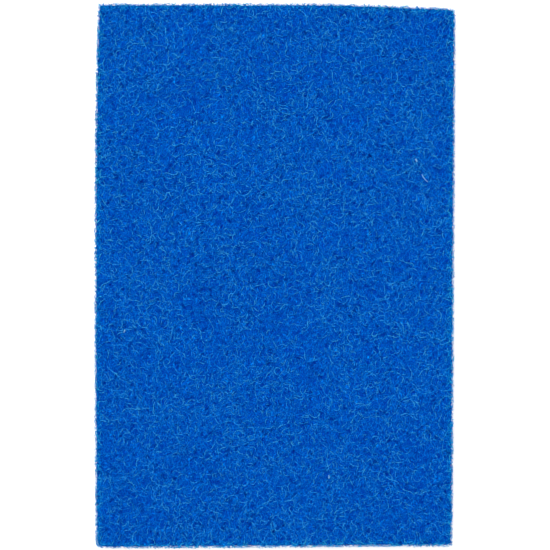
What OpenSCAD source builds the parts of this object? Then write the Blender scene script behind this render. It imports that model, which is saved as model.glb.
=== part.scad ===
// Coarse bonded-fibre filter pad for a pond or aquarium filter box, lying flat.
// Millimetres. +Y runs along the pad, +Z up through its thickness.
// The origin is the middle of the underside, at the centre of the pad's overall width and length.

/* [Pad] */
// Overall width of the pad, across X
pad_w = 202; // [100:1:400]
// Overall length of the pad, along Y
pad_l = 305; // [150:1:600]

/* [Hand-cut outline] */
// How far the left side leans in at the far end
left_far_lean = 2.0; // [0:0.1:5]
// How far the left side leans in at the near end
left_near_lean = 0.6; // [0:0.1:5]
// How far the right side leans in at the near end
right_lean = 1.7; // [0:0.1:5]
// How much the near edge climbs from left to right
near_climb = 1.2; // [0:0.1:5]
// How far the far edge falls away at its right-hand end
far_fall = 2.7; // [0:0.1:8]
// Width of the stretch over which the far edge falls away
far_fall_w = 81; // [20:1:95]

/* [Corners] */
// Radius of the near left corner, which is worn the most
near_left_r = 3.2; // [0.2:0.1:8]
// Radius of the near right corner
near_right_r = 1.6; // [0.2:0.1:8]
// Radius of the far right corner
far_right_r = 2.0; // [0.2:0.1:8]
// Radius of the far left corner
far_left_r = 0.5; // [0.2:0.1:8]

/* [Plies] */
// Thickness of the resin-rich ply on each outside face
skin_ply_t = 1.6; // [0.8:0.1:4]
// Thickness of each open ply between the two skins
core_ply_t = 2.8; // [1.5:0.1:6]
// Number of open plies between the two skins
core_plies = 6; // [2:1:12]

/* [Hidden] */

left_x = -pad_w / 2;
right_x = pad_w / 2;
near_y = -pad_l / 2;
far_y = pad_l / 2;

core_z = skin_ply_t;
face_z = core_z + core_plies * core_ply_t;

// Points in each rounded corner and along each curved edge
corner_steps = 4;
edge_steps = 16;
// How sharply an edge turns towards its end: 1 is a straight slope
fall_power = 1.5;
lean_power = 3;

skin_blue = "#0757b9";
core_blue = "#0a5fc4";

outline = concat(
    corner([left_x + left_near_lean, near_y], near_left_r, 180),
    corner([right_x - right_lean, near_y + near_climb], near_right_r, 270),
    corner([right_x, far_y - far_fall], far_right_r, 0),
    far_edge(),
    corner([left_x + left_far_lean, far_y], far_left_r, 90),
    left_edge()
);

function core_name(i) = str("core_ply_", i);

// A quarter turn of radius r inside the sharp corner p, anticlockwise from angle a
function corner(p, r, a) =
    let (toward_middle = [cos(a + 45) > 0 ? -r : r, sin(a + 45) > 0 ? -r : r])
    [for (i = [0:corner_steps])
        let (turn = a + 90 * i / corner_steps)
        p + toward_middle + r * [cos(turn), sin(turn)]];

// From the far right corner back to where the far edge runs straight
function far_edge() =
    [for (i = [1:edge_steps])
        let (share = 1 - i / edge_steps,
             x = right_x - far_right_r - (1 - share) * (far_fall_w - far_right_r))
        [x, far_y - far_fall * pow(share, fall_power)]];

// From the far left corner down to the near one, furthest out half way along
function left_edge() =
    let (from_y = far_y - far_left_r, to_y = near_y + near_left_r)
    [for (i = [1:edge_steps - 1])
        let (share = i / edge_steps,
             from_middle = abs(2 * share - 1),
             lean = share < 0.5 ? left_far_lean : left_near_lean)
        [left_x + lean * pow(from_middle, lean_power), from_y + (to_y - from_y) * share]];

// One web of the batt, cut to the pad's outline
module ply(z, thickness) {
    translate([0, 0, z])
        linear_extrude(thickness)
            polygon(outline);
}

module back_ply() {
    color(skin_blue) ply(0, skin_ply_t);
}

module core_ply(i) {
    color(core_blue) ply(core_z + (i - 1) * core_ply_t, core_ply_t);
}

module face_ply() {
    color(skin_blue) ply(face_z, skin_ply_t);
}

back_ply();
for (i = [1:core_plies])
    core_ply(i);
face_ply();
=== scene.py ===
import math

import bpy
import numpy as np
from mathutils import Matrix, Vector, kdtree, noise


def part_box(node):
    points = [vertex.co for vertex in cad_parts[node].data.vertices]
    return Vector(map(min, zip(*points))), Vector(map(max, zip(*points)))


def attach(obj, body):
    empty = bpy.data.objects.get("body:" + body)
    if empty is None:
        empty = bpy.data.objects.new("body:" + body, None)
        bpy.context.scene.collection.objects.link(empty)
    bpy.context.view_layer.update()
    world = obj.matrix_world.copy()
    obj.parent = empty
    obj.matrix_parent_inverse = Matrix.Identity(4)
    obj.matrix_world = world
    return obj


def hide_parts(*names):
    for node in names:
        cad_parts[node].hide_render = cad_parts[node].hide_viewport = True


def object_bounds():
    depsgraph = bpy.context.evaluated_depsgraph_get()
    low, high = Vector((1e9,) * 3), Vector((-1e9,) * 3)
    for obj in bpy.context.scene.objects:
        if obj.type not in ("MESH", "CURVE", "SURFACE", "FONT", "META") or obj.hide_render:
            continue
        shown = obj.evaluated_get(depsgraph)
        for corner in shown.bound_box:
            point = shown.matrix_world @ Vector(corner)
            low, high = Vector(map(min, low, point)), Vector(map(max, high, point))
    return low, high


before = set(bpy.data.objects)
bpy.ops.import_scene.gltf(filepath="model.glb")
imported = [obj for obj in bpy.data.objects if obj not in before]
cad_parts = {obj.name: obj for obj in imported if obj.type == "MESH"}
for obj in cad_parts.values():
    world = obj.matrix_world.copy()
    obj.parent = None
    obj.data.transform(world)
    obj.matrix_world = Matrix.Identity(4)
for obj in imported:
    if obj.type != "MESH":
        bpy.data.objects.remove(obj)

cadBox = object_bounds()
mm = 0.001
plies = sorted(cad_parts, key=lambda n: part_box(n)[0].z)  # from the floor up
padLow, padHigh = cadBox
print("plies, from the floor up:", ", ".join(plies))


# --- the cut outline, read off the frame

def cutOutline(nodeName):
    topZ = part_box(nodeName)[1].z
    points = np.array([v.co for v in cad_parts[nodeName].data.vertices])
    top = points[points[:, 2] > topZ - 0.01 * mm, :2]
    top = np.unique(np.round(top, 6), axis=0)
    return top[np.argsort(np.arctan2(top[:, 1], top[:, 0]))]  # anticlockwise; no side of it is hollow


outline = cutOutline(plies[-1])
edgeRun = np.roll(outline, -1, axis=0) - outline
edgeOut = np.stack([edgeRun[:, 1], -edgeRun[:, 0]], 1) / np.linalg.norm(edgeRun, axis=1)[:, None]
edgeAt = (edgeOut * outline).sum(1)


def pastOutline(xy):  # metres outside the cut, below zero inside it
    far = np.full(len(xy), -1.0)
    for out, at in zip(edgeOut, edgeAt):
        np.maximum(far, xy @ out - at, out=far)
    return far


trim = {
    "cling": 0.15 * mm,              # how far any fibre may stray past the cut,
    "reach": 0.2 * mm,               # and how much further one that crosses it head on
    "faces": (0.16 * mm, 0.8 * mm),  # the ragged ends of fibres on the faces: usual and longest,
    "sides": (0.2 * mm, 0.9 * mm),   # and of the ones round the cut sides
}


def leftByCut(rng, points, spread, longest):
    # true where a fibre's still there after the cut: only one that crosses the cut sticks out of it
    flat = points[:, :, :2]
    past = np.full(flat.shape[:2], -1.0)
    facing = np.zeros_like(flat)
    for out, at in zip(edgeOut, edgeAt):
        away = flat @ out - at
        nearer = away > past
        past[nearer] = away[nearer]
        facing[nearer] = out
    heading = np.gradient(flat, axis=1)
    heading /= np.maximum(np.linalg.norm(heading, axis=2, keepdims=True), 1e-9)
    crossing = np.abs((heading * facing).sum(2))
    ragged = rng.exponential(spread, (len(points), 1)).clip(0, longest)
    return past < (ragged + trim["reach"]) * crossing + trim["cling"]


def buried(points):  # metres under the nearest outside surface of the whole pad
    under = np.minimum(padHigh.z - points[:, 2], points[:, 2] - padLow.z)
    return np.minimum(under, -pastOutline(points[:, :2]))


def outlineSides(inset):
    # the near, right, far and left sides, each a run of points between two corners
    corners = [(-1, -1), (1, -1), (1, 1), (-1, 1)]
    half = np.array([padHigh.x, padHigh.y])
    found = [int(np.argmax((outline / half) @ np.array(corner))) for corner in corners]
    sides = []
    for i, start in enumerate(found):
        end = found[(i + 1) % 4]
        run = np.arange(start, end if end > start else end + len(outline))
        run = np.append(run, run[-1] + 1) % len(outline)
        sides.append(outline[run] * (1 - inset / half))
    return sides


def alongSide(side, shares):
    steps = np.append(0, np.cumsum(np.linalg.norm(np.diff(side, axis=0), axis=1)))
    steps /= steps[-1]
    return np.stack([np.interp(shares, steps, side[:, 0]), np.interp(shares, steps, side[:, 1])], 1)


def fitToOutline(u, v, inset):  # u and v from 0 to 1 across and along the pad
    near, right, far, left = outlineSides(inset)
    onNear, onFar = alongSide(near, u), alongSide(far[::-1], u)
    onRight, onLeft = alongSide(right, v), alongSide(left[::-1], v)
    u, v = u[:, None], v[:, None]
    flat = (1 - v) * onNear + v * onFar + (1 - u) * onLeft + u * onRight
    corners = (1 - u) * (1 - v) * near[0] + u * (1 - v) * right[0] + u * v * far[0] + (1 - u) * v * left[0]
    return flat - corners  # each corner is in it twice


# --- small helpers

def deselectAll():
    if bpy.context.object and bpy.context.object.mode != "OBJECT":
        bpy.ops.object.mode_set(mode="OBJECT")
    bpy.ops.object.select_all(action="DESELECT")


def readPoints(mesh):
    co = np.empty(len(mesh.vertices) * 3, np.float32)
    mesh.vertices.foreach_get("co", co)
    return co.reshape(-1, 3).astype(float)


def writePoints(mesh, points):
    mesh.vertices.foreach_set("co", points.astype(np.float32).ravel())
    mesh.update()


def writeMap(mesh, flatMap):
    mesh.uv_layers.new(name="OFBake", do_init=False)
    mesh.uv_layers["OFBake"].uv.foreach_set("vector", flatMap.astype(np.float32).ravel())


def noteOnPoints(mesh, name, values):
    note = mesh.attributes.get(name) or mesh.attributes.new(name, "FLOAT", "POINT")
    note.data.foreach_set("value", values.astype(np.float32))


def cloudy(points, size, seed):  # soft noise from -1 to 1, with lumps of about this size
    shift = Vector((seed * 17.3, seed * 5.1, seed * 9.7))
    return np.array([noise.noise(Vector(p) / size + shift) for p in points])


def squaresOverPad(spacing):  # one corner of each square of this size
    return np.mgrid[padLow.x:padHigh.x:spacing, padLow.y:padHigh.y:spacing].reshape(2, -1).T


def treeOver(flat, numbers):  # for finding the nearest of these points, as seen from above
    tree = kdtree.KDTree(len(numbers))
    for k in numbers:
        tree.insert((flat[k, 0], flat[k, 1], 0), k)
    tree.balance()
    return tree


# --- nodes for the materials

def feed(tree, socket, value):  # a link where the value is another node's output
    if hasattr(value, "links"):
        tree.links.new(value, socket)
    elif value is not None:
        socket.default_value = value


def newGroup(name, inputs, outputs):
    group = bpy.data.node_groups.new(name, "ShaderNodeTree")
    for label, kind, value in inputs:
        socket = group.interface.new_socket(label, in_out="INPUT", socket_type=kind)
        if value is not None:
            socket.default_value = value
    for label, kind in outputs:
        group.interface.new_socket(label, in_out="OUTPUT", socket_type=kind)
    return group, group.nodes.new("NodeGroupInput"), group.nodes.new("NodeGroupOutput")


def useGroup(tree, group, **values):
    node = tree.nodes.new("ShaderNodeGroup")
    node.node_tree = group
    for label, value in values.items():
        feed(tree, node.inputs[label], value)
    return node


def mathNode(tree, operation, a, b=None, c=None):
    node = tree.nodes.new("ShaderNodeMath")
    node.operation = operation
    for socket, value in zip(node.inputs, (a, b, c)):
        feed(tree, socket, value)
    return node.outputs[0]


def vectorNode(tree, operation, a, b=None):
    node = tree.nodes.new("ShaderNodeVectorMath")
    node.operation = operation
    for socket, value in zip(node.inputs, (a, b)):
        feed(tree, socket, value)
    return node.outputs["Value" if operation in ("DOT_PRODUCT", "LENGTH") else "Vector"]


def noiseNode(tree, vector, scale, detail=2.0, roughness=0.5):
    node = tree.nodes.new("ShaderNodeTexNoise")
    labels = ("Vector", "Scale", "Detail", "Roughness")
    for label, value in zip(labels, (vector, scale, detail, roughness)):
        feed(tree, node.inputs[label], value)
    return node.outputs["Fac"]


def rangeNode(tree, value, fromLow, fromHigh, toLow, toHigh, smooth=False):
    node = tree.nodes.new("ShaderNodeMapRange")
    node.interpolation_type = "SMOOTHSTEP" if smooth else "LINEAR"
    labels = ("Value", "From Min", "From Max", "To Min", "To Max")
    for label, x in zip(labels, (value, fromLow, fromHigh, toLow, toHigh)):
        feed(tree, node.inputs[label], x)
    return node.outputs[0]


def mixColours(tree, share, a, b, blend="MIX"):
    node = tree.nodes.new("ShaderNodeMix")
    node.data_type = "RGBA"
    node.blend_type = blend
    for socket, value in ((node.inputs[0], share), (node.inputs[6], a), (node.inputs[7], b)):
        feed(tree, socket, value)
    return node.outputs[2]


def readNote(tree, name):
    note = tree.nodes.new("ShaderNodeAttribute")
    note.attribute_name = name
    return note.outputs["Fac"]


# --- node groups

dyeAndPaintedLight = {
    # the colour at each shade value, from painted shade in the hollows to the painted glint where the resin
    # shines; the blue itself is the dye's
    "hollow": (0.0, (0.0, 0.017, 0.25, 1.0)),
    "shade": (0.3, (0.0, 0.080, 0.53, 1.0)),
    "middle": (0.55, (0.0, 0.157, 0.715, 1.0)),
    "lit": (0.8, (0.0, 0.260, 0.91, 1.0)),
    "crest": (1.0, (0.0, 0.335, 1.0, 1.0)),
    "glint": (1.35, (0.06, 0.53, 1.0, 1.0)),
}


def buildDyeAndPaintedLight():
    group, inside, outside = newGroup(
        "dyeAndPaintedLightRamp", [("Shade", "NodeSocketFloat", 0.5)], [("Colour", "NodeSocketColor")])
    ramp = group.nodes.new("ShaderNodeValToRGB")
    stops = ramp.color_ramp.elements
    while len(stops) < len(dyeAndPaintedLight):
        stops.new(0.5)
    top = max(shade for shade, _ in dyeAndPaintedLight.values())
    for stop, (shade, colour) in zip(stops, dyeAndPaintedLight.values()):
        stop.position = shade / top
        stop.color = colour
    group.links.new(mathNode(group, "DIVIDE", inside.outputs["Shade"], top), ramp.inputs["Fac"])
    group.links.new(ramp.outputs["Color"], outside.inputs["Colour"])
    return group


def buildMottle():
    # uneven resin: faint clouds across the pad, about -1 to 1
    group, inside, outside = newGroup(
        "mottle", [("Vector", "NodeSocketVector", None)], [("Value", "NodeSocketFloat")])
    broad = noiseNode(group, inside.outputs["Vector"], scale=30.0)
    fine = noiseNode(group, inside.outputs["Vector"], scale=240.0, detail=1.0)
    both = mathNode(group, "ADD", broad, fine)
    group.links.new(mathNode(group, "MULTIPLY_ADD", both, 2.0, -2.0), outside.inputs["Value"])
    return group


def buildResinCoat():
    # beads and thin places in the resin on one fibre
    group, inside, outside = newGroup(
        "resinCoat",
        [("Vector", "NodeSocketVector", None), ("Bead size", "NodeSocketFloat", 900.0),
         ("Smooth", "NodeSocketFloat", 0.55), ("Dull", "NodeSocketFloat", 0.85)],
        [("Height", "NodeSocketFloat"), ("Roughness", "NodeSocketFloat")])
    beads = noiseNode(group, inside.outputs["Vector"], inside.outputs["Bead size"], roughness=0.6)
    rough = rangeNode(group, beads, 0.3, 0.7, inside.outputs["Dull"], inside.outputs["Smooth"])
    group.links.new(beads, outside.inputs["Height"])
    group.links.new(rough, outside.inputs["Roughness"])
    return group


tangle = {
    # fibres too deep for tubes of their own: curly lines in several directions, the later ones lower; a
    # lower line is painted darker, as painted shade
    "spacing": 0.75 * mm,
    "thickness": 0.2 * mm,
    "curl": 4.2 * mm,
    "directions": 6,
    "firstTurn": 0.3,
    "leans": (math.radians(35), math.radians(65)),
    "curlScale": 150.0,         # the first direction's,
    "curlStep": 15,             # and how much finer each next one's is
    "diveScale": 420.0,
    "dive": (0.38, 0.62),       # the part of that noise in which a line sinks,
    "diveTo": (0.1, 1.0),       # and how low and high it lies there
    "drop": 0.1,                # how much lower each next direction lies
    "apart": (0.31, 0.17, 0.23),
}


def buildFibreTangle():
    group, inside, outside = newGroup(
        "fibreTangle",
        [("Vector", "NodeSocketVector", None), ("Spacing", "NodeSocketFloat", tangle["spacing"]),
         ("Thickness", "NodeSocketFloat", tangle["thickness"]), ("Curl", "NodeSocketFloat", tangle["curl"])],
        [("Height", "NodeSocketFloat")])
    place = inside.outputs["Vector"]
    directions = tangle["directions"]
    halfWidth = mathNode(group, "MULTIPLY", inside.outputs["Thickness"], 0.5)
    halfWidth = mathNode(group, "DIVIDE", halfWidth, inside.outputs["Spacing"])
    height = None
    for i in range(directions):
        turn = math.pi * (i * 5 % directions) / directions + tangle["firstTurn"]
        lean = tangle["leans"][i % 2]
        slope = (math.cos(lean) * math.cos(turn), math.cos(lean) * math.sin(turn), math.sin(lean))
        across = vectorNode(group, "DOT_PRODUCT", place, slope)
        own = vectorNode(group, "ADD", place, [shift * i for shift in tangle["apart"]])
        curl = noiseNode(group, own, tangle["curlScale"] + tangle["curlStep"] * i)
        across = mathNode(group, "MULTIPLY_ADD", curl, inside.outputs["Curl"], across)
        level = mathNode(group, "FRACT", mathNode(group, "DIVIDE", across, inside.outputs["Spacing"]))
        off = mathNode(group, "ABSOLUTE", mathNode(group, "SUBTRACT", level, 0.5))
        line = rangeNode(group, off, 0.0, halfWidth, 1.0, 0.0, smooth=True)
        dive = noiseNode(group, own, tangle["diveScale"], detail=1.0)
        dive = rangeNode(group, dive, *tangle["dive"], *tangle["diveTo"])
        dive = mathNode(group, "MULTIPLY", dive, 1.0 - tangle["drop"] * i)
        line = mathNode(group, "MULTIPLY", line, dive)
        height = line if height is None else mathNode(group, "MAXIMUM", height, line)
    group.links.new(height, outside.inputs["Height"])
    return group


dyeAndPaintedLightRamp = buildDyeAndPaintedLight()
mottle = buildMottle()
resinCoat = buildResinCoat()
fibreTangle = buildFibreTangle()


# --- materials

blueLook = {
    "specular": 0.01,
    "crestShade": 0.87,          # how light a fibre that stands proud of the face is painted, and how dark one lying at the full depth, as painted shade
    "buriedShade": 0.04,         # and of one lying at the full depth
    "proud": 0.3 * mm,
    "depth": 2.9 * mm,
    "tint": 0.05,                # how far one fibre differs from the next
    "streak": 3.6,               # how far the coat varies along a fibre
    "streakScale": 900.0,
    "streakRoughness": 0.75,
    "shine": 1.05,               # where a fibre carries more resin its ridge gets a painted highlight, and its sides a painted shadow
    "flank": 1.0,                # and its sides are darker
    "ridge": (0.42, 0.75),
    "bump": (0.25, 0.08 * mm),
    "clouds": 0.02,
    # painted light at the cut sides: its tint, its strength and how far in it reaches
    "cutLightTint": (1.0, 1.42, 0.98, 1.0),
    "cutLight": 0.03,            # extra light that comes in at the cut sides,
    "cutReach": 5 * mm,          # and how far in it gets
    # the web: its shade, how much lighter its fibre lines are painted the higher they lie, and the painted
    # shade with depth
    "webShade": 0.02,
    "webLines": 0.92,
    "webDepth": 0.10,
    "webBump": (0.8, 0.3 * mm),
}

paleLook = {
    # a few pale fibres
    "specular": 0.01,
    "colours": ((0.16, 0.50, 0.98, 1.0), (0.42, 0.76, 1.0, 1.0)),
    "unevenScale": 700.0,
    "smooth": 0.4,
    "dull": 0.6,
    "bump": (0.15, 0.05 * mm),
}


def newMaterial(name, look):
    material = bpy.data.materials.new(name)
    material.use_nodes = True
    tree = material.node_tree
    shader = tree.nodes["Principled BSDF"]
    shader.inputs["Specular IOR Level"].default_value = look["specular"]
    place = tree.nodes.new("ShaderNodeTexCoord").outputs["Object"]
    return material, tree, shader, place


def bumpInto(tree, shader, height, strength, distance):
    bump = tree.nodes.new("ShaderNodeBump")
    bump.inputs["Strength"].default_value = strength
    bump.inputs["Distance"].default_value = distance
    tree.links.new(height, bump.inputs["Height"])
    tree.links.new(bump.outputs[0], shader.inputs["Normal"])


def dyeAndPaintedLightInto(tree, shader, look, place, shade):
    # every blue surface: its own shade, which holds painted light and shade, plus the clouds and the painted
    # light that comes in at the cut
    clouds = useGroup(tree, mottle, Vector=place).outputs["Value"]
    clouds = mathNode(tree, "MULTIPLY", clouds, look["clouds"])
    cut = rangeNode(tree, readNote(tree, "toCut"), 0.0, look["cutReach"], 1.0, 0.0)
    cutLight = mathNode(tree, "MULTIPLY", cut, look["cutLight"])
    shade = mathNode(tree, "ADD", mathNode(tree, "ADD", shade, clouds), cutLight)
    colour = useGroup(tree, dyeAndPaintedLightRamp, Shade=shade).outputs["Colour"]
    colour = mixColours(tree, cut, colour, look["cutLightTint"], "MULTIPLY")
    tree.links.new(colour, shader.inputs["Base Color"])


def coatedFibre(name, look):
    material, tree, shader, place = newMaterial(name, look)
    # painted shade: a fibre is darker the deeper it lies under the pad's surface or in a pore
    depth = rangeNode(tree, readNote(tree, "buriedBy"), -look["proud"], look["depth"],
                      look["crestShade"], look["buriedShade"])
    tint = readNote(tree, "tint")
    depthShadeAndTint = mathNode(tree, "MULTIPLY_ADD", tint, look["tint"], depth)
    own = vectorNode(tree, "ADD", place, tint)  # so that no two fibres share their streaks
    streaks = noiseNode(tree, own, look["streakScale"], roughness=look["streakRoughness"])
    streaks = mathNode(tree, "SUBTRACT", streaks, 0.5)
    shade = mathNode(tree, "MULTIPLY_ADD", streaks, look["streak"], depthShadeAndTint)
    # painted highlight on the ridge and painted shadow on the sides, as much as there's resin
    ridgeHighlightAndFlankShadow = rangeNode(tree, readNote(tree, "ridge"), *look["ridge"],
                      -look["flank"], look["shine"], smooth=True)
    shade = mathNode(tree, "MULTIPLY_ADD", ridgeHighlightAndFlankShadow, readNote(tree, "resin"), shade)
    dyeAndPaintedLightInto(tree, shader, look, place, shade)
    coat = useGroup(tree, resinCoat, Vector=place)
    tree.links.new(coat.outputs["Roughness"], shader.inputs["Roughness"])
    bumpInto(tree, shader, coat.outputs["Height"], *look["bump"])
    return material


def openWeb(name, look):
    material, tree, shader, place = newMaterial(name, look)
    lines = useGroup(tree, fibreTangle, Vector=place).outputs["Height"]
    # painted shade: the web is darker the deeper it lies, and its lines are painted lighter the higher they
    # lie
    depth = rangeNode(tree, readNote(tree, "buriedBy"), 0.0, look["depth"],
                      look["webShade"] + look["webDepth"], look["webShade"] - look["webDepth"])
    dyeAndPaintedLightInto(tree, shader, look, place, mathNode(tree, "MULTIPLY_ADD", lines, look["webLines"], depth))
    coat = useGroup(tree, resinCoat, Vector=place)
    tree.links.new(coat.outputs["Roughness"], shader.inputs["Roughness"])
    bumpInto(tree, shader, lines, *look["webBump"])
    return material


def paleFibreMaterial(name, look):
    material, tree, shader, place = newMaterial(name, look)
    uneven = noiseNode(tree, place, look["unevenScale"], detail=1.0)
    tree.links.new(mixColours(tree, uneven, *look["colours"]), shader.inputs["Base Color"])
    coat = useGroup(tree, resinCoat, Vector=place, Smooth=look["smooth"], Dull=look["dull"])
    tree.links.new(coat.outputs["Roughness"], shader.inputs["Roughness"])
    bumpInto(tree, shader, coat.outputs["Height"], *look["bump"])
    return material


faceFibre = coatedFibre("faceFibre", blueLook)
coreFibre = coatedFibre("coreFibre", blueLook)
backFibre = coatedFibre("backFibre", blueLook)
faceOpenWeb = openWeb("faceOpenWeb", blueLook)
coreOpenWeb = openWeb("coreOpenWeb", blueLook)
backOpenWeb = openWeb("backOpenWeb", blueLook)
paleFibre = paleFibreMaterial("paleFibre", paleLook)


# --- pores: openings all over the face, where the fibres part and sink a little; the darkness in them is painted shade

pores = {
    "spacing": 3.8 * mm,
    "radius": (0.55 * mm, 1.4 * mm),
    # the depth sets how dark the painted shade in a pore is; the fibres sink by only the sink share of it
    "depth": (0.8 * mm, 2.6 * mm),
    "sink": 0.2,         # how far the fibres over a pore follow it down
    "under": 2 * mm,     # how deep under the face they're still felt
    "bend": 0.5 * mm,    # they aren't round: how far their rims swing,
    "turn": 0.45 * mm,   # and over what length
}


def openPores(rng, look):
    cells = squaresOverPad(look["spacing"])
    at = cells + rng.uniform(0, look["spacing"], cells.shape)
    small, large = look["radius"]
    radii = small + (large - small) * rng.random(len(at)) ** 2  # more small ones than large
    return treeOver(at, range(len(at))), radii, rng.uniform(*look["depth"], len(at))


poreTree, poreRadii, poreDepths = openPores(np.random.default_rng(7), pores)


def poreDepth(points):
    depth = np.zeros(len(points))
    nearFace = padHigh.z - points[:, 2] < pores["under"]
    bend, turn = pores["bend"], pores["turn"]
    for k in np.nonzero(nearFace)[0]:
        x, y = points[k, 0], points[k, 1]
        x, y = x + bend * math.sin(y / turn), y + bend * math.sin(x / turn)
        _, i, away = poreTree.find((x, y, 0))
        depth[k] = poreDepths[i] * max(0.0, 1 - (away / poreRadii[i]) ** 3)
    return depth


cutGlow = {
    "clear": 0.6 * mm,   # how deep under the face the light from the cut is still at its full,
    "fade": 3,           # and how many times faster it is lost below that than further in
}


def noteDepths(mesh, points):
    # buriedBy carries painted shade, darker with depth and in the pores; toCut carries the painted light at
    # the cut
    noteOnPoints(mesh, "buriedBy", buried(points) + poreDepth(points))
    underFace = (padHigh.z - points[:, 2] - cutGlow["clear"]).clip(0)
    noteOnPoints(mesh, "toCut", -pastOutline(points[:, :2]) + cutGlow["fade"] * underFace)


# --- fibres

fibreShape = {
    "thickness": 0.20 * mm,
    "uneven": (0.7, 1.3),          # how thin and thick single fibres are, against that
    "step": 1.0 * mm,
    "length": 46 * mm,
    "crimp": (6 * mm, 17 * mm),    # wavelength of the small curls,
    "crimpTurn": (0.35, 1.4),      # and radians either way
    "sweep": (28 * mm, 70 * mm),   # wavelength of the long bends
    "sweepTurn": (0.2, 0.9),
    "wander": 0.07,                # radians that it strays by at each step
    "rise": (6 * mm, 15 * mm),     # wavelength of the rises and dives,
    "riseShare": (0.4, 1.0),       # and their height as a share of the lift
    "swell": (20 * mm, 50 * mm),   # wavelength of the long, low ones
    "swellShare": (0.1, 0.3),
    "resinSpacing": 2.3 * mm,      # one run of thicker resin, with a painted glint, to each square of this size, moved by up to this share of it
    "resinScatter": 0.6,           # moved by up to this share of it
    "resinRun": (1.2 * mm, 3.6 * mm),
    "resinAmount": (0.0, 0.95),
    "resinChoice": 6,              # it goes on the outermost of this many points
    "resinWidth": 2.7,             # where it spreads to this many times the fibre's width
    "mapColumns": 4,
}


def curlFibres(rng, starts, headings, shape, lift):
    # one row of points for each fibre; lift is how far it rises and dives
    count = len(starts)
    steps = int(shape["length"] / shape["step"]) + 1
    s = np.arange(steps)[None, :] * shape["step"]

    def wave(wavelengths, sizes):
        size = rng.uniform(*sizes, (count, 1))
        length = rng.uniform(*wavelengths, (count, 1))
        return size * np.sin(2 * math.pi * (s / length + rng.random((count, 1))))

    heading = headings[:, None] + wave(shape["crimp"], shape["crimpTurn"])
    heading += wave(shape["sweep"], shape["sweepTurn"])
    heading += np.cumsum(rng.normal(0, shape["wander"], (count, steps)), axis=1)
    run = np.stack([np.cos(heading), np.sin(heading)], 2) * shape["step"]
    flat = np.cumsum(run, axis=1) - run.sum(axis=1, keepdims=True) / 2
    points = np.empty((count, steps, 3))
    points[:, :, :2] = starts[:, None, :2] + flat
    rise = wave(shape["rise"], lift * np.array(shape["riseShare"]))
    rise += wave(shape["swell"], lift * np.array(shape["swellShare"]))
    points[:, :, 2] = starts[:, None, 2] + rise
    return points


def resinRuns(rng, points, keep, shape):
    # from 0 to 1 along each fibre: short runs of thicker resin with a painted glint, scattered evenly over
    # the pad, on the outermost fibres
    count, steps, _ = points.shape
    flat = points.reshape(-1, 3)
    tree = treeOver(flat, np.flatnonzero(keep))
    under = buried(flat)
    spacing = shape["resinSpacing"]
    cells = squaresOverPad(spacing)
    spots = cells + spacing * (rng.random(2) + rng.uniform(-shape["resinScatter"], 0.0, cells.shape))
    lengths = rng.uniform(*shape["resinRun"], len(spots))
    amounts = rng.uniform(*shape["resinAmount"], len(spots))
    resin = np.zeros((count, steps))
    for (x, y), length, amount in zip(spots, lengths, amounts):
        near = [k for _, k, away in tree.find_n((x, y, 0), shape["resinChoice"]) if away < spacing / 2]
        if near:
            fibre, middle = divmod(min(near, key=lambda k: under[k]), steps)
            away = np.abs(np.arange(steps) - middle) * shape["step"] / (length / 2)
            resin[fibre] = np.maximum(resin[fibre], amount * (1 - away ** 4).clip(0))
    return resin


def tubeRings(points, radius, width):
    # three points round each point along a fibre, the ridge on top
    along = np.gradient(points, axis=1)
    along /= np.linalg.norm(along, axis=2, keepdims=True)
    side = np.cross(along, (0.0, 0.0, 1.0))
    side /= np.maximum(np.linalg.norm(side, axis=2, keepdims=True), 1e-6)
    over = np.cross(side, along)
    ring = []
    for turn in (math.radians(90), math.radians(210), math.radians(330)):
        sideways = (width * math.cos(turn))[:, :, None] * side
        ring.append(points + sideways + (radius * math.sin(turn))[:, :, None] * over)
    return np.stack(ring, 2)


def tubeFaces(keep):
    # walls round every kept step, a cap at both ends of every stretch, and the fibre and step of each
    count, steps = keep.shape
    ring = np.arange(count * steps).reshape(count, steps) * 3
    kept = keep[:, :-1] & keep[:, 1:]
    wallSpots = np.nonzero(kept)
    firsts = np.nonzero(kept & ~np.pad(kept, ((0, 0), (1, 0)))[:, :-1])
    lasts = np.nonzero(kept & ~np.pad(kept, ((0, 0), (0, 1)))[:, 1:])
    fibre, step = wallSpots
    a, b = ring[fibre, step], ring[fibre, step + 1]
    walls = [np.stack([a + k, b + k, b + (k + 1) % 3, a + (k + 1) % 3], 1) for k in range(3)]
    begin, end = ring[firsts], ring[lasts[0], lasts[1] + 1]
    caps = [np.stack([begin, begin + 1, begin + 2], 1), np.stack([end + 2, end + 1, end], 1)]
    capSpots = np.concatenate([firsts, lasts], axis=1)
    return np.concatenate(walls), np.tile(wallSpots, 3), np.concatenate(caps), capSpots


def stripMap(wallSpots, capSpots, count, steps, columns):
    # each fibre is a strip of its own, with a narrow gap round it
    rows = -(-count // columns)
    span, high = 0.96 / columns / (steps - 1), 0.8 / rows

    def across(fibre, step):
        return (fibre % columns + 0.02) / columns + step * span

    def upTo(fibre):
        return (fibre // columns + 0.1) / rows

    fibre, step = wallSpots
    wall = np.repeat([0, 1, 2], len(fibre) // 3)
    left, right, low = across(fibre, step), across(fibre, step + 1), upTo(fibre)
    v0 = low + high * np.choose(wall, [0, 0.9, 1])  # the ridge is at the strip's lower side,
    v1 = low + high * np.choose(wall, [1, 1, 0])    # the base at its upper side
    wallMap = np.stack([left, v0, right, v0, right, v1, left, v1], 1)
    fibre, step = capSpots
    left, low = across(fibre, step), upTo(fibre)
    capMap = np.stack([left, low, left + span, low, left, low + high], 1)
    return np.concatenate([wallMap.reshape(-1, 2), capMap.reshape(-1, 2)])


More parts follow.
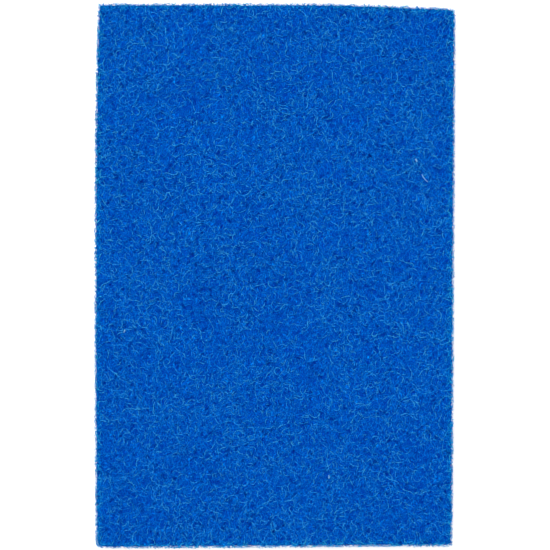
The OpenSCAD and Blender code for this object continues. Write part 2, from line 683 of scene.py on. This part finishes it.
def spinFibres(name, rng, points, keep, shape, material):
    # a three-sided tube round every kept stretch of every fibre, closed at its ends
    count, steps, _ = points.shape
    resin = resinRuns(rng, points, keep, shape)
    tints = rng.normal(0, 1, count)
    radius = shape["thickness"] / 2 * rng.uniform(*shape["uneven"], (count, 1))
    radius = np.repeat(radius, steps, axis=1)
    width = radius * (1 + (shape["resinWidth"] - 1) * resin)
    rings = tubeRings(points, radius, width).reshape(-1, 3)
    walls, wallSpots, caps, capSpots = tubeFaces(keep)
    used, corners = np.unique(np.concatenate([walls.ravel(), caps.ravel()]), return_inverse=True)

    mesh = bpy.data.meshes.new(name)
    mesh.vertices.add(len(used))
    mesh.vertices.foreach_set("co", rings[used].astype(np.float32).ravel())
    mesh.loops.add(len(corners))
    mesh.loops.foreach_set("vertex_index", corners.astype(np.int32))
    mesh.polygons.add(len(walls) + len(caps))
    begins = np.concatenate([np.arange(len(walls)) * 4, len(walls) * 4 + np.arange(len(caps)) * 3])
    mesh.polygons.foreach_set("loop_start", begins.astype(np.int32))
    mesh.update(calc_edges=True)
    writeMap(mesh, stripMap(wallSpots, capSpots, count, steps, shape["mapColumns"]))
    noteOnPoints(mesh, "tint", np.repeat(tints, steps * 3)[used])
    # the resin runs: a thicker fibre there, and a painted highlight on the ridge point with painted shadow
    # on the base points
    noteOnPoints(mesh, "resin", np.repeat(resin.ravel(), 3)[used])
    noteOnPoints(mesh, "ridge", (used % 3 == 0) * 1.0)
    noteDepths(mesh, rings[used])
    mesh.polygons.foreach_set("use_smooth", np.ones(len(mesh.polygons), bool))
    mesh.materials.append(material)
    piece = bpy.data.objects.new(name, mesh)
    bpy.context.scene.collection.objects.link(piece)
    print(f"{name}: {count} fibres, {2 * len(walls) + len(caps)} triangles")
    return piece


laps = {
    "margin": 3,       # fibres may start their length over this outside the pad
    "scatter": 0.25,   # how much the depth varies in one lap, as a share of it
    "rest": 0.6,       # how many thicknesses above the floor the lowest ones lie
}


def layFaceFibres(name, count, depth, shape, material, lift, seed, upward=1):
    # fibres lying along one face of the pad, centred this deep under it
    rng = np.random.default_rng(seed)
    margin = shape["length"] / laps["margin"]
    starts = np.empty((count, 3))
    starts[:, 0] = rng.uniform(padLow.x - margin, padHigh.x + margin, count)
    starts[:, 1] = rng.uniform(padLow.y - margin, padHigh.y + margin, count)
    surface = padHigh.z if upward > 0 else padLow.z
    starts[:, 2] = surface - upward * rng.normal(depth, laps["scatter"] * depth, count)
    points = curlFibres(rng, starts, rng.uniform(0, 2 * math.pi, count), shape, lift)
    if upward > 0:
        points[:, :, 2] -= pores["sink"] * poreDepth(points.reshape(-1, 3)).reshape(points.shape[:2])
    else:
        points[:, :, 2] = np.maximum(points[:, :, 2], padLow.z + shape["thickness"] * laps["rest"])
    return spinFibres(name, rng, points, leftByCut(rng, points, *trim["faces"]), shape, material)


cutSide = {
    "inward": (0.15 * mm, 1.3 * mm),
    "crossing": 0.5,       # the share of fibres that come out through the cut; the others run along it
    "crossTurn": 0.5,      # radians off square to the cut, for those,
    "alongTurn": 0.35,     # and off its own line, for the others
    "lift": 0.9 * mm,
    "low": 0.25 * mm,      # how near the floor they come,
    "high": 0.1 * mm,      # and how far past the face
    "seen": 2.2 * mm,      # what lies further in can't be seen
    "shape": dict(fibreShape, length=20 * mm, step=0.9 * mm, crimpTurn=(0.2, 0.8)),
}


def layEdgeFibres(name, node, count, material, seed):
    # fibres round the cut side of one ply
    rng = np.random.default_rng(seed)
    lo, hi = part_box(node)
    lengths = np.linalg.norm(edgeRun, axis=1)
    where = rng.choice(len(lengths), count, p=lengths / lengths.sum())
    at = outline[where] + rng.random(count)[:, None] * edgeRun[where]
    inward = rng.uniform(*cutSide["inward"], count)
    starts = np.empty((count, 3))
    starts[:, :2] = at - edgeOut[where] * inward[:, None]
    starts[:, 2] = rng.uniform(lo.z, hi.z, count)
    along = np.arctan2(edgeRun[where, 1], edgeRun[where, 0])
    crossing = rng.random(count) < cutSide["crossing"]
    through = rng.normal(math.pi / 2, cutSide["crossTurn"], count)
    headings = along + np.where(crossing, through, rng.normal(0, cutSide["alongTurn"], count))
    points = curlFibres(rng, starts, headings, cutSide["shape"], cutSide["lift"])
    points[:, :, 2] = points[:, :, 2].clip(padLow.z + cutSide["low"], padHigh.z + cutSide["high"])
    past = pastOutline(points.reshape(-1, 3)[:, :2]).reshape(points.shape[:2])
    keep = leftByCut(rng, points, *trim["sides"]) & (past > -cutSide["seen"])
    return spinFibres(name, rng, points, keep, cutSide["shape"], material)


# --- webs: the body of each ply

webShape = {
    "lumps": 0.2,          # millimetres up and down
    "lumpSize": 5 * mm,
    "fineSize": 2.2 * mm,
    "fineShare": 0.7,
    "rimLumps": 0.1,       # millimetres in and out, at the cut
    "rim": 0.3 * mm,
    "clear": 0.1 * mm,     # what's further than this from the middle is top or bottom
}


def layWeb(name, node, material, grid, inset, seed, sinkTop=0.0, sinkBottom=0.0):
    lo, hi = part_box(node)
    size = hi - lo
    topZ, bottomZ = hi.z - sinkTop, lo.z + sinkBottom
    deselectAll()
    columns, rows = round(size.x / grid), round(size.y / grid)
    bpy.ops.mesh.primitive_grid_add(x_subdivisions=columns, y_subdivisions=rows, size=1)
    web = bpy.context.object
    web.name = web.data.name = name
    square = readPoints(web.data)
    flat = fitToOutline(square[:, 0] + 0.5, square[:, 1] + 0.5, inset)
    writePoints(web.data, np.column_stack([flat, np.full(len(flat), topZ)]))
    thick = web.modifiers.new("thickness", "SOLIDIFY")
    thick.thickness = topZ - bottomZ
    thick.offset = -1
    bpy.ops.object.modifier_apply(modifier=thick.name)
    bpy.ops.object.mode_set(mode="EDIT")
    bpy.ops.mesh.select_all(action="SELECT")
    middle = (topZ + bottomZ) / 2
    bpy.ops.mesh.bisect(plane_co=(0, 0, middle), plane_no=(0, 0, 1))
    bpy.ops.object.mode_set(mode="OBJECT")
    mapWeb(web.data, lo, hi)

    points = readPoints(web.data)
    top = points[:, 2] > middle + webShape["clear"]
    bottom = points[:, 2] < middle - webShape["clear"]
    rim = pastOutline(points[:, :2]) > -(inset + webShape["rim"])
    uneven = cloudy(points, webShape["lumpSize"], seed)
    uneven = uneven + webShape["fineShare"] * cloudy(points, webShape["fineSize"], seed + 1)
    points[top, 2] += uneven[top] * webShape["lumps"] * mm
    points[bottom, 2] += uneven[bottom] * webShape["lumps"] * mm
    edge = points[rim, :2]
    out = edge / np.linalg.norm(edge * (1 / size.x, 1 / size.y), axis=1)[:, None] / size.x
    points[rim, :2] += out * (uneven[rim, None] * webShape["rimLumps"] * mm)
    points[top, 2] -= pores["sink"] * poreDepth(points[top])
    writePoints(web.data, points)
    noteDepths(web.data, points)
    bpy.ops.object.shade_smooth()
    web.data.materials.append(material)
    print(f"{name}: {2 * len(web.data.polygons)} triangles")
    return web


def mapWeb(mesh, lo, hi):
    # both faces side by side in the lower 0.78 of the map, and a strip for each cut side from 0.80 up
    size = np.array(hi - lo)
    corners = np.empty(len(mesh.loops), np.int32)
    mesh.loops.foreach_get("vertex_index", corners)
    x, y, z = ((readPoints(mesh)[corners] - np.array(lo)) / size).T
    facing = np.empty(len(mesh.polygons) * 3, np.float32)
    mesh.polygons.foreach_get("normal", facing)
    facing = facing.reshape(-1, 3)
    sizes = np.empty(len(mesh.polygons), np.int32)
    mesh.polygons.foreach_get("loop_total", sizes)
    nx, ny, nz = np.repeat(facing, sizes, axis=0).T
    up, down = nz > 0.5, nz < -0.5
    across = np.abs(nx) > np.abs(ny)
    strip = 0.80 + 0.05 * (2 * across + ((nx + ny) > 0))
    u = np.where(up, 0.5 * x, np.where(down, 0.5 + 0.5 * x, np.where(across, y, x)))
    v = np.where(up | down, 0.78 * y, strip + 0.04 * z)
    writeMap(mesh, np.stack([u, v], 1) * 0.98 + 0.01)


# --- the pieces, ply by ply

def finishPiece(piece, node):
    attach(piece, "root")
    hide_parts(node)
    return piece


facePly, backPly, corePlies = plies[-1], plies[0], plies[1:-1]
littleResinAndGlint = dict(fibreShape, resinAmount=(0.0, 0.2))
longStep = dict(littleResinAndGlint, step=1.3 * mm, resinSpacing=6 * mm)

faceLaps = [
    # depth in millimetres, how many fibres, and their shape, from the lowest up
    (1.0, 1150, longStep),
    (0.78, 1150, longStep),
    (0.55, 880, littleResinAndGlint),
    (0.36, 880, fibreShape),
    (0.2, 880, fibreShape),
]
faceWeb = layWeb("faceWeb", facePly, faceOpenWeb,
                 grid=1.2 * mm, inset=1.0 * mm, seed=11, sinkTop=0.9 * mm)
finishPiece(faceWeb, facePly)
for i, (depth, count, shape) in enumerate(faceLaps):
    lap = layFaceFibres(f"faceFibres_{i + 1}", count, depth * mm, shape, faceFibre,
                        lift=0.42 * mm, seed=100 + i)
    finishPiece(lap, facePly)
finishPiece(layEdgeFibres("faceEdgeFibres", facePly, 700, faceFibre, seed=150), facePly)

for i, node in enumerate(corePlies):
    web = layWeb(f"coreWeb_{i + 1}", node, coreOpenWeb, grid=3 * mm, inset=1.1 * mm, seed=20 + i)
    finishPiece(web, node)
    fringe = layEdgeFibres(f"coreFibres_{i + 1}", node, 1500, coreFibre, seed=200 + i)
    finishPiece(fringe, node)

backLaps = [(0.75, 560), (0.35, 560)]  # depth in millimetres, and how many fibres
backWeb = layWeb("backWeb", backPly, backOpenWeb,
                 grid=1.8 * mm, inset=1.0 * mm, seed=12, sinkBottom=0.6 * mm)
finishPiece(backWeb, backPly)
for i, (depth, count) in enumerate(backLaps):
    lap = layFaceFibres(f"backFibres_{i + 1}", count, depth * mm, longStep, backFibre,
                        lift=0.3 * mm, seed=300 + i, upward=-1)
    finishPiece(lap, backPly)
finishPiece(layEdgeFibres("backEdgeFibres", backPly, 600, backFibre, seed=350), backPly)

strays = {
    # how far right and up from the middle, heading in degrees, and length
    "placed": ((83.6, 54.3, -51, 5.2), (79.0, 64.5, -60, 1.4),
               (-84.1, -30.9, 70, 1.2), (30.2, -112.3, 95, 1.3)),
    "height": 0.35 * mm,   # they lie on top of the other fibres
    "bend": 0.25,          # radians from end to end
    "points": 12,
    "step": 0.6 * mm,
    "shape": dict(fibreShape, thickness=0.65 * mm, resinWidth=1.0),
}


def layStrays(name, look, material, seed):
    rng = np.random.default_rng(seed)
    points = np.zeros((len(look["placed"]), look["points"], 3))
    keep = np.zeros(points.shape[:2], bool)
    for i, (x, y, heading, length) in enumerate(look["placed"]):
        s = (np.arange(look["points"]) - 0.5) * look["step"] - length * mm / 2
        turn = math.radians(heading) + look["bend"] * s / (length * mm)
        points[i, :, 0] = x * mm + s * np.cos(turn)
        points[i, :, 1] = y * mm + s * np.sin(turn)
        points[i, :, 2] = padHigh.z + look["height"]
        keep[i] = np.abs(s) <= length * mm / 2 + look["step"] / 2
    return spinFibres(name, rng, points, keep, look["shape"], material)


finishPiece(layStrays("paleStrays", strays, paleFibre, seed=400), facePly)


# --- floor, light and camera

studio = {
    "floorSize": 4.0,
    "floorColours": ((0.80, 0.80, 0.80, 1), (0.82, 0.82, 0.82, 1)),
    "floorGlow": (0.46, 0.64),  # added for the camera only, so that the pale floor reads as white,
    "glowFrom": (1.0, 2.4),     # and more of it far off, where the lamp doesn't reach
    "worldStrength": 0.5,
    "lampPower": 23.0,
    "lampSize": 0.6,
    "lampAt": (-0.22, 0.32, 1.76),
    "frameWidth": 307.6 * mm,   # what the camera's view takes in at the pad's face
    "cameraUp": 0.5 * mm,
    "lens": 85.0,
    "sensor": 36.0,
}


def seenDirectly(tree):
    # 1 for what the camera sees, straight or in a gloss, and 0 for light on the object
    rays = tree.nodes.new("ShaderNodeLightPath").outputs
    seen = mathNode(tree, "MAXIMUM", rays["Is Camera Ray"], rays["Is Glossy Ray"])
    return mathNode(tree, "MAXIMUM", seen, rays["Is Transmission Ray"])


def paintFloor():
    material = bpy.data.materials.new("paleFloor")
    material.use_nodes = True
    tree = material.node_tree
    shader = tree.nodes["Principled BSDF"]
    shader.inputs["Roughness"].default_value = 0.9
    shader.inputs["Specular IOR Level"].default_value = 0.0
    place = tree.nodes.new("ShaderNodeTexCoord").outputs["Object"]
    speck = noiseNode(tree, place, scale=3.0)
    tree.links.new(mixColours(tree, speck, *studio["floorColours"]), shader.inputs["Base Color"])
    glow = tree.nodes.new("ShaderNodeEmission")
    away = vectorNode(tree, "LENGTH", place)
    added = rangeNode(tree, away, *studio["glowFrom"], *studio["floorGlow"])
    tree.links.new(mathNode(tree, "MULTIPLY", seenDirectly(tree), added), glow.inputs["Strength"])
    both = tree.nodes.new("ShaderNodeAddShader")
    tree.links.new(shader.outputs[0], both.inputs[0])
    tree.links.new(glow.outputs[0], both.inputs[1])
    tree.links.new(both.outputs[0], tree.nodes["Material Output"].inputs["Surface"])
    return material


deselectAll()
bpy.ops.mesh.primitive_plane_add(size=studio["floorSize"], location=(0, 0, padLow.z))
floor = bpy.context.object
floor.name = "floor"
floor.data.materials.append(paintFloor())

world = bpy.data.worlds.new("softRoom")
bpy.context.scene.world = world
world.use_nodes = True
sky = world.node_tree.nodes["Background"]
sky.inputs["Color"].default_value = (1, 1, 1, 1)
seen = seenDirectly(world.node_tree)
strength = rangeNode(world.node_tree, seen, 0.0, 1.0, studio["worldStrength"], 1.0)
world.node_tree.links.new(strength, sky.inputs["Strength"])

bpy.ops.object.light_add(type="AREA", location=studio["lampAt"])
lamp = bpy.context.object
lamp.data.energy = studio["lampPower"]
lamp.data.size = studio["lampSize"]
lamp.rotation_euler = Vector(studio["lampAt"]).to_track_quat("Z", "Y").to_euler()

cameraData = bpy.data.cameras.new("camera")
cameraData.lens = studio["lens"]
cameraData.sensor_width = studio["sensor"]
camera = bpy.data.objects.new("camera", cameraData)
bpy.context.scene.collection.objects.link(camera)
cameraHeight = studio["frameWidth"] * studio["lens"] / studio["sensor"]
camera.location = (0, studio["cameraUp"], padHigh.z + cameraHeight)
bpy.context.scene.camera = camera
bpy.context.scene.view_settings.view_transform = "Standard"
